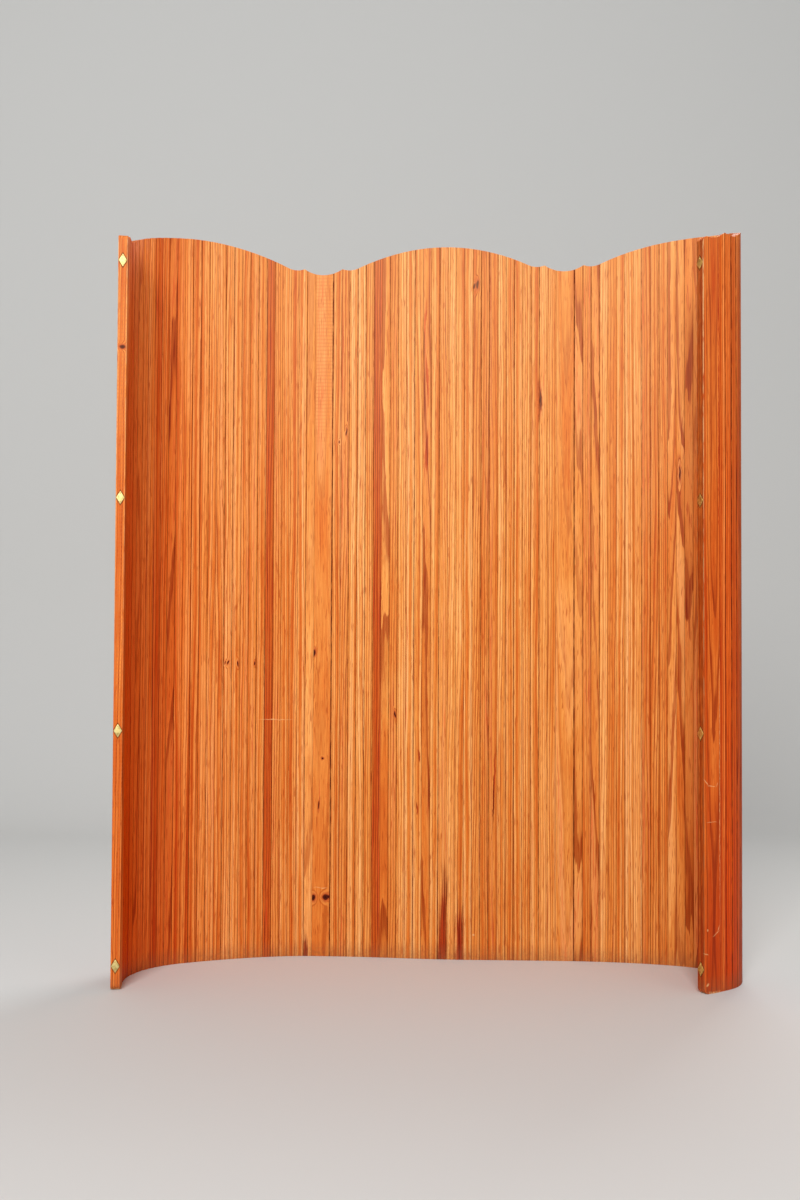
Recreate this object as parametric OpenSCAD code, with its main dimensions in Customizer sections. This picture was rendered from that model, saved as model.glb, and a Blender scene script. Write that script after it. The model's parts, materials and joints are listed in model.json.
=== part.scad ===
// Free-standing folding screen: upright wooden slats strung edge to edge on four steel wires.
// Every slat has a rounded nose on one edge and a groove on the other, so the run bends at each joint.
// Units are millimetres. The origin is on the floor, under the middle of the middle slat.
// +X runs along the screen, +Y points out of its hollow side's back, and +Z is up.

/* [Screen] */
// Height of the crowns of the scalloped top
total_h = 1700; // [1500:5:1900]
// Narrow slats in each of the three panels
panel_slats = 27; // [23:1:31]

/* [Slats] */
// Joint to joint width of a narrow slat
slat_pitch = 19.8; // [18:0.1:24]
// Thickness of every slat, and the diameter of its rounded nose
slat_t = 16; // [13:0.5:18]
// Joint to joint width of the two wide staves between the panels
wide_pitch = 44; // [36:1:60]
// Clearance of a nose in the groove that it turns in
joint_gap = 0.3; // [0.2:0.05:0.5]
// How far a groove's two lips stand back from the joint's centre
lip_set = 4; // [3:0.25:5]
// Greatest turn at a joint, either way, that the flared wire holes leave room for
joint_swing = 22; // [15:1:24]

/* [End posts] */
// Free edge to first joint
post_w = 50; // [40:1:70]
// Thickness of the two end posts
post_t = 20; // [19:0.5:26]
// How far the left post's shoulder stands back from the centre of its nose
post_shoulder = 3; // [2:0.5:5]
// Radius of the corners at the top and foot of the free edge
post_corner_r = 15; // [8:1:20]
// Radius of the long arrises of the free edge
post_arris_r = 1.5; // [0.5:0.25:2.5]

/* [Scalloped top] */
// Radius of the scoop over each wide stave and each end post
scoop_r = 81; // [78:1:100]
// Radius of the small coves on both sides of a scoop
cove_r = 50; // [40:1:60]
// Depth of the scoop over a wide stave, below the crowns
scoop_drop = 60; // [52:1:75]
// Depth of the coves beside a wide stave, below the crowns
cove_drop = 49; // [42:1:50]
// Middle of a wide stave to the lowest point of the cove
cove_at = 64.5; // [60:0.5:70]
// Depth of the scoop over an end post, below the crowns
end_scoop_drop = 82; // [70:1:95]
// Depth of the cove beside an end post, below the crowns
end_cove_drop = 65; // [55:1:68]
// Free edge to the lowest point of the end post's scoop
end_scoop_at = 14; // [5:1:25]
// Free edge to the lowest point of the cove beside the end post
end_cove_at = 82; // [75:1:90]
// Longest straight cut along the sawn top
top_step = 4; // [2:0.5:8]

/* [Wires] */
// Wires that the run is strung on
wire_count = 4; // [3:1:5]
// Height of the lowest wire above the floor
lowest_wire = 52; // [40:1:90]
// Depth of the highest wire below the crowns
highest_wire_drop = 140; // [125:1:200]
// How much farther apart the two highest wires are than the others
top_bay_extra = 14; // [0:1:40]
// Diameter of a wire
wire_d = 3; // [2:0.25:3.5]
// Diameter of the hole that a wire runs through
wire_hole_d = 4; // [3.75:0.25:5]

/* [Wire stops] */
// Diameter of the stop crimped on each end of a wire
stop_d = 7.2; // [6:0.2:8]
// Length of a stop
stop_l = 7; // [5:0.5:9]
// Diameter of the pocket that a stop sits in
pocket_d = 9.2; // [8.5:0.1:10.5]
// How far a stop lies inside the post's free edge
stop_inset = 2; // [1:0.5:5]
// How far a wire sticks out of its stop
wire_tail = 0.5; // [0.3:0.1:0.8]

/* [Brass plates] */
// Width of a plate across the edge of the post
plate_w = 18; // [15:0.5:19]
// Height of a plate
plate_h = 29; // [27:0.5:36]
// Thickness of a plate
plate_t = 1.2; // [0.8:0.1:2]
// Height of each pin above or below the middle of its plate
pin_at = 9.5; // [8:0.25:10]
// Diameter of a pin's shank
pin_d = 1.6; // [1.2:0.1:2]
// Length of a pin in the wood
pin_l = 10; // [6:0.5:16]
// Diameter of a pin's head
pin_head_d = 3; // [2.5:0.1:3.5]
// Height of a pin's head
pin_head_h = 0.7; // [0.5:0.1:1]

/* [Fits] */
// Clearance around the pins, the stops' bores and the wires' ends
fit_gap = 0.05; // [0.03:0.01:0.1]

/* [Hidden] */
$fn = 48;
panel_names = ["left", "middle", "right"];
panels = len(panel_names);
// Each panel's slats are held together in this many groups, and the run bends between them
panel_groups = 7;
// Direction in which the run heads, in degrees from +X, at a share of its length in percent
plan_curve = [
    [1.4, 96], [4.5, 89], [11.2, 44], [15.5, 22], [19.9, 18], [26.6, 10], [33.9, -4], [44.5, -9],
    [55.5, -3], [66.1, -4], [73.4, -10], [80.1, -18], [84.5, -32], [91.1, -107], [95.5, -146], [98.6, -154]
];
nose_r = slat_t / 2;
groove_r = nose_r + joint_gap;
cut = 1;
highest_wire = total_h - highest_wire_drop;
wire_bay = (highest_wire - top_bay_extra - lowest_wire) / (wire_count - 1);
wire_levels = [for (k = [0:wire_count - 2]) lowest_wire + k * wire_bay, highest_wire];
wire_r = wire_d / 2;
wire_sides = 8;
pocket_depth = stop_inset + stop_l;
wire_end = stop_inset - wire_tail;
wire_gap = wire_r * tan(joint_swing / 2) + fit_gap;
wood = "#d9782f";
pale_wood = "#e08a45";
post_wood = "#c8621f";
steel = "#9a9c9e";
brass = "#d9b24a";

// Members of the run, from the left post to the right one: 0 and last_member are the posts
panel_members = panel_slats + 1;
last_member = panels * panel_members;
middle_member = floor(last_member / 2);
function is_post(i) = i == 0 || i == last_member;
function is_wide(i) = !is_post(i) && i % panel_members == 0;
function pitch_of(i) = is_post(i) ? post_w : is_wide(i) ? wide_pitch : slat_pitch;
function along(angle) = [cos(angle), sin(angle)];

// Distance along the run at which each member starts
starts = [for (i = 0, s = 0; i <= last_member + 1; s = s + pitch_of(i), i = i + 1) s];
run_length = starts[last_member + 1];
headings = [for (i = [0:last_member])
    lookup(100 * (starts[i] + pitch_of(i) / 2) / run_length, plan_curve)];
function step_of(i) = i > last_member ? [0, 0] : pitch_of(i) * along(headings[i]);
unplaced = [for (i = 0, p = [0, 0]; i <= last_member + 1; p = p + step_of(i), i = i + 1) p];
run_origin = unplaced[middle_member] + step_of(middle_member) / 2;
// Joint centres in plan: joint i is the left edge of member i
joints = [for (p = unplaced) p - run_origin];

// The scalloped top, as a drop below the crowns at a distance v from an edge line
function hollow(d, r) = r - sqrt(max(0, r * r - d * d));
function crown_r(reach, drop) = (reach * reach + drop * drop) / (2 * drop) - cove_r;
function edge_drop(v, span, scoop_x, scoop_low, cove_x, cove_low) =
    let (reach = span - cove_x, big_r = crown_r(reach, cove_low))
    v > cove_x + reach * cove_r / (big_r + cove_r)
        ? hollow(span - v, big_r)
        : max(scoop_low - hollow(v - scoop_x, scoop_r), cove_low - hollow(v - cove_x, cove_r));
panel_run = panel_slats * slat_pitch;
function panel_at(s) =
    min(panels - 1, max(0, floor((s - post_w + wide_pitch / 2) / (panel_run + wide_pitch))));
function top_at(s) =
    let (
        k = panel_at(s),
        off = s - post_w - panel_run / 2 - k * (panel_run + wide_pitch),
        at_end = (k == 0 && off < 0) || (k == panels - 1 && off > 0),
        span = panel_run / 2 + (at_end ? post_w : wide_pitch / 2),
        v = max(0, span - abs(off))
    )
    total_h - (at_end
        ? edge_drop(v, span, end_scoop_at, end_scoop_drop, end_cove_at, end_cove_drop)
        : edge_drop(v, span, 0, scoop_drop, cove_at, cove_drop));

// Blocks of the run that stay rigid: [name, first member, last member]
function group_edge(j) = round(j * panel_slats / panel_groups);
function panel_blocks(k) = [for (j = [0:panel_groups - 1]) [
    str("slats_", panel_names[k], "_", j + 1),
    k * panel_members + group_edge(j) + 1,
    k * panel_members + group_edge(j + 1)
]];
blocks = [
    ["end_post_left", 0, 0],
    each panel_blocks(0),
    ["wide_stave_left", panel_members, panel_members],
    each panel_blocks(1),
    ["wide_stave_right", 2 * panel_members, 2 * panel_members],
    each panel_blocks(2),
    ["end_post_right", last_member, last_member]
];

// Puts a piece that is drawn from its left joint, heading along +X, in its place in the run
module at_member(i) {
    translate([joints[i].x, joints[i].y, 0]) rotate([0, 0, headings[i]]) children();
}

// Turns a cylinder's axis from +Z to +X
module along_x() {
    rotate([0, 90, 0]) children();
}

// Plan of a slat: flat faces, a groove at the left and a full round nose at the right
module slat_plan(w) {
    difference() {
        union() {
            translate([lip_set, -slat_t / 2]) square([w - lip_set, slat_t]);
            translate([w, 0]) circle(r = nose_r);
        }
        circle(r = groove_r);
    }
}

// Plan of a post's board with both arrises of the edge at x = w rounded
module board_plan(x0, w) {
    translate([x0, -post_t / 2]) square([w - x0 - post_arris_r, post_t]);
    translate([x0, post_arris_r - post_t / 2]) square([w - x0, post_t - 2 * post_arris_r]);
    for (side = [-1, 1])
        translate([w - post_arris_r, side * (post_t / 2 - post_arris_r)]) circle(r = post_arris_r);
}

module left_post_plan() {
    translate([post_w - post_shoulder, 0]) mirror([1, 0]) board_plan(0, post_w - post_shoulder);
    translate([post_w / 2, -slat_t / 2]) square([post_w / 2, slat_t]);
    translate([post_w, 0]) circle(r = nose_r);
}

module right_post_plan() {
    difference() {
        board_plan(lip_set, post_w);
        circle(r = groove_r);
    }
}

// What a rounded corner of radius post_corner_r takes off the square corner at the origin
module corner_waste() {
    difference() {
        translate([-cut, -cut]) square(post_corner_r + cut);
        translate([post_corner_r, post_corner_r]) circle(r = post_corner_r);
    }
}

// Elevation of member i, with the scalloped top above its own stretch of the run
module elevation(i) {
    w = pitch_of(i) + nose_r;
    steps = ceil(w / top_step);
    difference() {
        polygon([
            [0, 0], [w, 0],
            for (k = [steps:-1:0]) [w * k / steps, top_at(min(starts[i] + w * k / steps, run_length))]
        ]);
        if (i == 0) {
            corner_waste();
            translate([0, top_at(0)]) mirror([0, 1]) corner_waste();
        }
        if (i == last_member) translate([post_w, 0]) mirror([1, 0]) {
            corner_waste();
            translate([0, top_at(run_length)]) mirror([0, 1]) corner_waste();
        }
    }
}

// The hole of one wire through a member, flared in the nose so that the wire can bend there
module wire_hole(w) {
    along_x() translate([0, 0, -cut]) cylinder(d = wire_hole_d, h = w + cut + fit_gap);
    translate([w, 0, 0]) along_x()
        cylinder(d1 = wire_hole_d, d2 = wire_hole_d + 2 * slat_t * tan(joint_swing), h = slat_t);
}

// Pocket for a wire's stop and the two pin holes, in a free edge at x = 0 with the wood beyond it
module edge_holes() {
    translate([-cut, 0, 0]) along_x() cylinder(d = pocket_d, h = pocket_depth + cut);
    for (side = [-1, 1])
        translate([-cut, 0, side * pin_at]) along_x()
            cylinder(d = pin_d + 2 * fit_gap, h = pin_l + cut + fit_gap);
}

// Puts what is drawn in a free edge at x = 0 on both posts' edges in turn
module at_free_edge(side) {
    if (side == "left") at_member(0) children();
    else at_member(last_member) translate([post_w, 0, 0]) rotate([0, 0, 180]) children();
}

module member_blank(i) {
    intersection() {
        linear_extrude(total_h + cut)
            if (i == 0) left_post_plan();
            else if (i == last_member) right_post_plan();
            else slat_plan(pitch_of(i));
        rotate([90, 0, 0]) linear_extrude(post_t + 2 * cut, center = true) elevation(i);
    }
}

module member(i) {
    difference() {
        at_member(i) member_blank(i);
        for (level = wire_levels) {
            translate([0, 0, level]) at_member(i)
                if (i == last_member) along_x() cylinder(d = wire_hole_d, h = post_w - cut);
                else wire_hole(pitch_of(i));
            if (is_post(i))
                translate([0, 0, level]) at_free_edge(i == 0 ? "left" : "right") edge_holes();
        }
    }
}

module slats(block) {
    color(block[1] != block[2] ? wood : is_post(block[1]) ? post_wood : pale_wood)
        for (i = [block[1]:block[2]]) member(i);
}

// One smooth length of wire through route, a list of plan points, at a height
module wire(route, level) {
    n = len(route);
    legs = [for (k = [0:n - 2]) let (d = route[k + 1] - route[k]) atan2(d.y, d.x)];
    rings = [for (k = [0:n - 1])
        let (
            before = legs[max(0, k - 1)],
            after = legs[min(n - 2, k)],
            across = along((before + after) / 2 + 90) * wire_r / cos((after - before) / 2)
        )
        for (j = [0:wire_sides - 1])
            let (a = 360 * j / wire_sides)
            [route[k].x + across.x * cos(a), route[k].y + across.y * cos(a), level + wire_r * sin(a)]
    ];
    polyhedron(rings, [
        [for (j = [0:wire_sides - 1]) j],
        [for (j = [wire_sides - 1:-1:0]) (n - 1) * wire_sides + j],
        for (k = [0:n - 2], j = [0:wire_sides - 1])
            let (a = k * wire_sides + j, b = k * wire_sides + (j + 1) % wire_sides)
            [a, a + wire_sides, b + wire_sides, b]
    ]);
}

// The wires' lengths in one block: they end just short of the block's outer joints, or in the stops
module wires(block) {
    first = block[1];
    last = block[2];
    from = first == 0 ? wire_end : wire_gap;
    to = last == last_member ? post_w - wire_end : pitch_of(last) - wire_gap;
    route = [
        joints[first] + from * along(headings[first]),
        for (i = [first + 1:1:last]) joints[i],
        joints[last] + to * along(headings[last])
    ];
    color(steel) for (level = wire_levels) wire(route, level);
}

module wire_stops(side) {
    color(steel) for (level = wire_levels) translate([0, 0, level]) at_free_edge(side)
        translate([stop_inset, 0, 0]) along_x() difference() {
            cylinder(d = stop_d, h = stop_l);
            translate([0, 0, -cut]) cylinder(d = wire_d + 2 * fit_gap, h = stop_l + 2 * cut);
        }
}

module brass_plates(side) {
    color(brass) for (level = wire_levels) translate([0, 0, level]) at_free_edge(side)
        difference() {
            translate([-plate_t, 0, 0]) rotate([90, 0, 90]) linear_extrude(plate_t)
                polygon([[plate_w / 2, 0], [0, plate_h / 2], [-plate_w / 2, 0], [0, -plate_h / 2]]);
            for (end = [-1, 1])
                translate([-plate_t - cut, 0, end * pin_at]) along_x()
                    cylinder(d = pin_d + 2 * fit_gap, h = plate_t + 2 * cut);
        }
}

module plate_pins(side) {
    color(brass) for (level = wire_levels, end = [-1, 1])
        translate([0, 0, level]) at_free_edge(side) translate([-plate_t, 0, end * pin_at]) {
            along_x() cylinder(d = pin_d, h = plate_t + pin_l);
            translate([-pin_head_h, 0, 0]) along_x()
                cylinder(d1 = pin_head_d / 2, d2 = pin_head_d, h = pin_head_h);
        }
}

for (b = blocks) {
    slats(b);
    wires(b);
}
wire_stops("left");  // wire_stops_left
wire_stops("right");  // wire_stops_right
brass_plates("left");  // brass_plates_left
brass_plates("right");  // brass_plates_right
plate_pins("left");  // plate_pins_left
plate_pins("right");  // plate_pins_right
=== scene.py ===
import json
import math
import random

import bmesh
import bpy
from mathutils import Matrix, Vector

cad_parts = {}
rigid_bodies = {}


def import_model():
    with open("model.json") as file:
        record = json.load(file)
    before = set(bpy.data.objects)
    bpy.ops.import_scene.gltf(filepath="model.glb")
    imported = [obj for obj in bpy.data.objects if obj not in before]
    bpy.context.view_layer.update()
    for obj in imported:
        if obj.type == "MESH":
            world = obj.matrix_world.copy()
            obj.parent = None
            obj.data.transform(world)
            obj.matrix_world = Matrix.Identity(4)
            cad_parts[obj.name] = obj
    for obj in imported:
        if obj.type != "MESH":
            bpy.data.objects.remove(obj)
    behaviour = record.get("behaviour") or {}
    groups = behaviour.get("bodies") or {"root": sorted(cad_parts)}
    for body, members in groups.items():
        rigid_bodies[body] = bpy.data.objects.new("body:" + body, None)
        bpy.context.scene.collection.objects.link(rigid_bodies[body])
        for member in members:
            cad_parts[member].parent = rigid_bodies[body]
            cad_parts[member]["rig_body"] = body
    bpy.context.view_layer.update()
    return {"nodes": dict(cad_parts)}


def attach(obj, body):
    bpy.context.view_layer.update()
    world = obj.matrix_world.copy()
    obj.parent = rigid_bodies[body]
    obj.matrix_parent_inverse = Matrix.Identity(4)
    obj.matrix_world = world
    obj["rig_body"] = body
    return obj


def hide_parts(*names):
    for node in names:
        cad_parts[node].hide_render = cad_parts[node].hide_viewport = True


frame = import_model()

# ---------------------------------------------------------------------------------------------
# The run of wood. 85 upright members of yellow pine stand edge to edge: two end posts, two wide
# staves and, in three panels, 81 narrow slats. Each turns with its round nose in the groove of
# the next, so the run is a chain in plan. Its top was sawn to a scalloped line once it was strung.
# ---------------------------------------------------------------------------------------------
TOTAL_H = 1.700
PANELS, PANEL_SLATS, PANEL_GROUPS = ("left", "middle", "right"), 27, 7
SLAT_PITCH, WIDE_PITCH, POST_W = 0.0198, 0.044, 0.050
SLAT_T, POST_T = 0.016, 0.020
# Direction of the run in degrees from +X, at a share of its length in percent
PLAN_CURVE = [
    (1.4, 96), (4.5, 89), (11.2, 44), (15.5, 22), (19.9, 18), (26.6, 10), (33.9, -4), (44.5, -9),
    (55.5, -3), (66.1, -4), (73.4, -10), (80.1, -18), (84.5, -32), (91.1, -107), (95.5, -146), (98.6, -154),
]
SCOOP_R, COVE_R = 0.081, 0.050
# Where the scoop is lowest and its depth below the crowns there, then the same for the cove beside
# it. The places are measured from the middle of a wide stave, or from the free edge of a post.
SCOOP = (0.0, 0.060, 0.0645, 0.049)
END_SCOOP = (0.014, 0.082, 0.082, 0.065)

PANEL_MEMBERS = PANEL_SLATS + 1
LAST = len(PANELS) * PANEL_MEMBERS


def is_post(i):
    return i in (0, LAST)


def is_wide(i):
    return not is_post(i) and i % PANEL_MEMBERS == 0


def pitch_of(i):
    return POST_W if is_post(i) else WIDE_PITCH if is_wide(i) else SLAT_PITCH


def heading_at(percent):
    for (a, first), (b, second) in zip(PLAN_CURVE, PLAN_CURVE[1:]):
        if percent <= b:
            break
    share = min(1.0, max(0.0, (percent - a) / (b - a)))
    return math.radians(first + (second - first) * share)


starts = [sum(pitch_of(k) for k in range(i)) for i in range(LAST + 2)]
run_length = starts[-1]
headings = [heading_at(100 * (starts[i] + pitch_of(i) / 2) / run_length) for i in range(LAST + 1)]
joints = [Vector((0, 0, 0))]
for i in range(LAST + 1):
    joints.append(joints[i] + pitch_of(i) * Vector((math.cos(headings[i]), math.sin(headings[i]), 0)))
middle = (joints[LAST // 2] + joints[LAST // 2 + 1]) / 2


def seat(i):
    """Where member i stands: drawn from its left joint along +X, with +Y the back of the screen."""
    return Matrix.Translation(joints[i] - middle) @ Matrix.Rotation(headings[i], 4, "Z")


def hollow(d, r):
    """How far an arc of radius r has risen at a distance d from its lowest point."""
    return r - math.sqrt(max(0.0, r * r - d * d))


def edge_drop(v, span, scoop_x, scoop_low, cove_x, cove_low):
    """Depth of the top line below the crowns: a scoop over the edge, a cove, then the broad crown."""
    reach = span - cove_x
    crown_r = (reach * reach + cove_low * cove_low) / (2 * cove_low) - COVE_R
    if v > cove_x + reach * COVE_R / (crown_r + COVE_R):
        return hollow(span - v, crown_r)
    return max(scoop_low - hollow(v - scoop_x, SCOOP_R), cove_low - hollow(v - cove_x, COVE_R))


def top_at(s):
    """Height of the sawn top at a distance s along the run."""
    panel_run = PANEL_SLATS * SLAT_PITCH
    last_panel = len(PANELS) - 1
    k = min(last_panel, max(0, math.floor((s - POST_W + WIDE_PITCH / 2) / (panel_run + WIDE_PITCH))))
    off = s - POST_W - panel_run / 2 - k * (panel_run + WIDE_PITCH)
    at_end = (k == 0 and off < 0) or (k == last_panel and off > 0)
    span = panel_run / 2 + (POST_W if at_end else WIDE_PITCH / 2)
    return TOTAL_H - edge_drop(max(0.0, span - abs(off)), span, *(END_SCOOP if at_end else SCOOP))


# ---------------------------------------------------------------------------------------------
# The narrow slats: 16 mm laths of yellow pine. A moulding plane cut a groove down one edge and a
# full round nose down the other; the sharp rims and lips were eased by hand before varnishing.
# They are drawn flat in plan, cut at stations across the width, and drawn up to the sawn top.
# ---------------------------------------------------------------------------------------------
NOSE_R = SLAT_T / 2
GROOVE_R = NOSE_R + 0.0003
LIP_SET = 0.004
LIP_Y = math.sqrt(GROOVE_R**2 - LIP_SET**2)
ARC_STEPS = 14
STATION = 0.004
SLAT_EASE = 0.0005
CUT_SNAP, SAME_PLACE = 1e-6, 1e-5


def draw_plan(bm, start, moves):
    """A closed outline from start. A move is a point to go to, or a centre and an angle to swing."""
    first = last = bm.verts.new((*start, 0))
    for move in moves:
        if len(move) == 2:
            point = bm.verts.new((*move, 0))
            bm.edges.new((last, point))
        else:
            swung = bmesh.ops.spin(
                bm, geom=[last], cent=(move[0], move[1], 0), axis=(0, 0, 1), angle=move[2], steps=ARC_STEPS
            )
            point = next(g for g in swung["geom_last"] if isinstance(g, bmesh.types.BMVert))
        last = point
    bm.edges.new((last, first))
    bmesh.ops.contextual_create(bm, geom=bm.edges[:])


def slat_plan(bm, w):
    lip_angle = math.atan2(LIP_Y, LIP_SET)
    draw_plan(bm, (LIP_SET, -NOSE_R), [
        (w, -NOSE_R), (w, 0, math.pi), (LIP_SET, NOSE_R), (LIP_SET, LIP_Y), (0, 0, -2 * lip_angle),
    ])


def cut(bm, place, normal):
    bmesh.ops.bisect_plane(bm, geom=bm.verts[:] + bm.edges[:] + bm.faces[:], plane_co=place,
                           plane_no=normal, dist=CUT_SNAP)


def stand_up(bm, i, foot_at=lambda x: 0.0, trim_at=lambda x: 0.0, stations=()):
    """Cuts the plan at its stations and draws it up to the sawn top of member i."""
    w = pitch_of(i) + NOSE_R
    count = math.ceil(w / STATION)
    for x in sorted([w * k / count for k in range(1, count)] + list(stations)):
        cut(bm, (x, 0, 0), (1, 0, 0))
    raised = bmesh.ops.extrude_face_region(bm, geom=bm.faces[:])["geom"]
    top = {g for g in raised if isinstance(g, bmesh.types.BMVert)}
    for v in bm.verts:
        if v in top:
            v.co.z = top_at(min(starts[i] + v.co.x, run_length)) - trim_at(v.co.x)
        else:
            v.co.z = foot_at(v.co.x)
    bmesh.ops.recalc_face_normals(bm, faces=bm.faces[:])


def bevel(bm, edges, amount, segments):
    bmesh.ops.bevel(bm, geom=edges, offset=amount, offset_type="OFFSET", segments=segments,
                    profile=0.5, affect="EDGES", clamp_overlap=True, material=-1)


def ease(bm, amount, segments, is_arris):
    """Rounds the rims of the top and the foot, and the upright arrises, outside the groove."""
    chosen = []
    for e in bm.edges:
        mid = (e.verts[0].co + e.verts[1].co) / 2
        flat = [abs(f.normal.z) > 0.5 for f in e.link_faces]
        in_groove = math.hypot(mid.x, mid.y) < GROOVE_R + SAME_PLACE
        hidden = in_groove or abs(mid.x - LIP_SET) < SAME_PLACE
        rim = any(flat) and not all(flat) and not hidden
        upright = not any(flat) and is_arris(mid.x, mid.y)
        if rim or upright:
            chosen.append(e)
    bevel(bm, chosen, amount, segments)


def narrow_member(bm, i):
    slat_plan(bm, pitch_of(i))
    stand_up(bm, i)
    ease(bm, SLAT_EASE, 2, lambda x, y: abs(x - LIP_SET) < SAME_PLACE and abs(y) > LIP_Y + SAME_PLACE)


# Each lath was sawn from a different place in the log. The heart of the tree lies this far off,
# across and behind the face, and leans along the length, which draws the lines or the flames.
# A lath's tone is its lightness, the red of its heartwood and the strength of its late wood; the
# laths that stand out are named by their place in the run.
rng = random.Random(27)
HEART_NEAR, HEART_FAR = 0.05, 0.28
TONES = {
    (17, 18, 26, 27, 31, 32, 37, 38, 39, 41, 43, 49, 60, 63, 64, 73): (0.61, 0.0),
    (23, 30, 40, 42, 57, 58, 59, 79): (0.5, 0.3),
    (12, 13, 20, 46, 50, 61, 66, 67, 69, 74): (0.41, 0.12),
    (9, 11, 19, 36, 47, 48, 65, 75, 76): (0.39, 0.24),
    (8, 10): (0.36, 0.42),
    (70, 71): (0.42, 0.32),
    (1, 2, 3, 4, 5, 6, 7): (0.57, 0.22),
    (77, 78, 80, 81): (0.42, 0.14),
    (82, 83): (0.43, -0.06),
    (22, 34): (0.24, 0.4),
}
FLAMED = (10, 35, 40, 57, 59, 68, 69, 70, 71, 72)
DARK_LINED, PLAIN = (8, 22, 34), (27,)
RIGHT_CURL = range(76, LAST + 1)
# The varnish is deepened on the curled ends: a painted warm shade for the shaded curls
CURL_SHADE_SPAN = 18  # members from each end over which the varnish thins out
lath = []
for i in range(LAST + 1):
    light, red = rng.uniform(0.42, 0.57), rng.uniform(0.0, 0.16)
    for group, tone in TONES.items():
        if i in group:
            light, red = tone[0] + rng.uniform(-0.04, 0.04), tone[1] + rng.uniform(-0.06, 0.06)
    turn = rng.uniform(0.8, 1.5) * rng.choice((-1, 1))
    far = rng.uniform(HEART_NEAR * 2, HEART_FAR)
    lean = (rng.uniform(-0.005, 0.005), rng.uniform(-0.008, 0.008))
    if i in FLAMED or is_wide(i) or is_post(i) or rng.random() < 0.06:
        turn = rng.uniform(-0.35, 0.35)
        far = rng.uniform(HEART_NEAR * 0.6, HEART_NEAR * 1.4)
        lean = (rng.uniform(-0.006, 0.006), rng.choice((-1, 1)) * rng.uniform(0.006, 0.013))
    heart = Vector((far * math.sin(turn), far * math.cos(turn), 0))
    lines = rng.uniform(0.7, 1.15)
    if i in DARK_LINED:
        lines += 0.8
    elif i in RIGHT_CURL or i in FLAMED:
        lines += 0.4
    elif i in PLAIN:
        lines -= 0.6
    # Deeper on the curled ends, as a painted warm shade
    varnish_and_shade = max(0.14, 0.5 - i / 90, 1 - (i - 1) / CURL_SHADE_SPAN, 1 - (LAST - i) / CURL_SHADE_SPAN)
    lath.append({
        "heart": heart + Vector((pitch_of(i) / 2, 0, 0)),
        "lean": Vector((lean[0], lean[1], 0)),
        "tone": (light, red, lines),
        # How dark its joint is, how much painted shade darkens it towards the foot, and how deep its varnish
        # is, deepened on the curled ends as a painted warm shade
        "joint": 1.0 if is_wide(i) or i in RIGHT_CURL else rng.choice((0.3, 0.45, 0.6, 0.8, 0.95)),
        "foot": 0.18 if i in RIGHT_CURL else 0.14 if i == PANEL_MEMBERS else 0.0,
        "varnish_and_shade": {0: 0.35, LAST - 1: 0.68, LAST: 0.46}.get(i, varnish_and_shade),
    })

JOINT_EASE = 0.0014  # width over which the grime of a joint deepens
# The right post's free edge is darkened: painted shade
FREE_EDGE_SHADE = 0.55
LOG_STRETCH = 4.0  # each member is read from its own stretch of the log
# The thinning over the upper part pales the top: a painted sheen of light from above
VARNISH_FOOT, TOP_SHEEN_THINNING, TOP_SHEEN_FROM = 1.15, 1.2, 0.6  # it thins over the upper 0.4 of the height


def grain_rows(i, mesh):
    """What the varnished pine reads at each vertex of member i, still in its own plan: its place in the
    tree, the grime (with painted shade on the right post's free edge), varnish (deepened on the curled ends
    as painted warm shade, thinned at the top as painted sheen) and depth below the sawn top, its place on the
    run, and its tone (darkened towards the foot on some members by painted shade)."""
    own = lath[i]
    rows = {"tree": [], "skin": [], "mark": [], "tone": []}
    for v in mesh.vertices:
        x, y, z = v.co
        from_heart = v.co - own["heart"] - own["lean"] * (z - TOTAL_H / 2)
        rows["tree"] += [from_heart.x, from_heart.y, z + LOG_STRETCH * i]
        depth = top_at(min(starts[i] + x, run_length)) - z
        joint_at = pitch_of(i) + (0.0 if is_wide(i) else JOINT_EASE)
        grime_and_shade = own["joint"] * min(1.0, max(0.0, (x - joint_at) / JOINT_EASE))
        # Painted shade on the right post's free edge
        if i == LAST and x > POST_W - JOINT_EASE:
            grime_and_shade = FREE_EDGE_SHADE
        top_sheen_height = max(0.0, z / TOTAL_H - TOP_SHEEN_FROM)
        rows["skin"] += [grime_and_shade, own["varnish_and_shade"] * (VARNISH_FOOT - TOP_SHEEN_THINNING * top_sheen_height), depth]
        rows["mark"] += [starts[i] + x, y, z]
        light, red, contrast = own["tone"]
        # Painted shade: some members darken towards the foot
        rows["tone"] += [light - own["foot"] * (1 - z / TOTAL_H), red, contrast]
    return rows


def linear(hex_colour):
    """An sRGB hex colour as the linear RGBA that a socket takes."""
    parts = [int(hex_colour[k:k + 2], 16) / 255 for k in (1, 3, 5)]
    return tuple(c / 12.92 if c <= 0.04045 else ((c + 0.055) / 1.055) ** 2.4 for c in parts) + (1.0,)


def add(tree, kind, inputs=None, stops=None, **settings):
    """A node of that kind, with its settings, its colour stops, and its sockets set or linked."""
    node = tree.nodes.new("ShaderNode" + kind)
    for name, value in settings.items():
        setattr(node, name, value)
    for key, value in (inputs or {}).items():
        if isinstance(value, bpy.types.NodeSocket):
            tree.links.new(value, node.inputs[key])
        else:
            node.inputs[key].default_value = value
    for k, (place, colour) in enumerate(stops or ()):
        stop = node.color_ramp.elements[k] if k < 2 else node.color_ramp.elements.new(place)
        stop.position = place
        stop.color = linear(colour)
    return node


def blank_material(name):
    """A material of that name with nothing in its node tree yet, and the tree."""
    material = bpy.data.materials.new(name)
    material.use_nodes = True
    material.node_tree.nodes.clear()
    return material, material.node_tree


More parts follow.
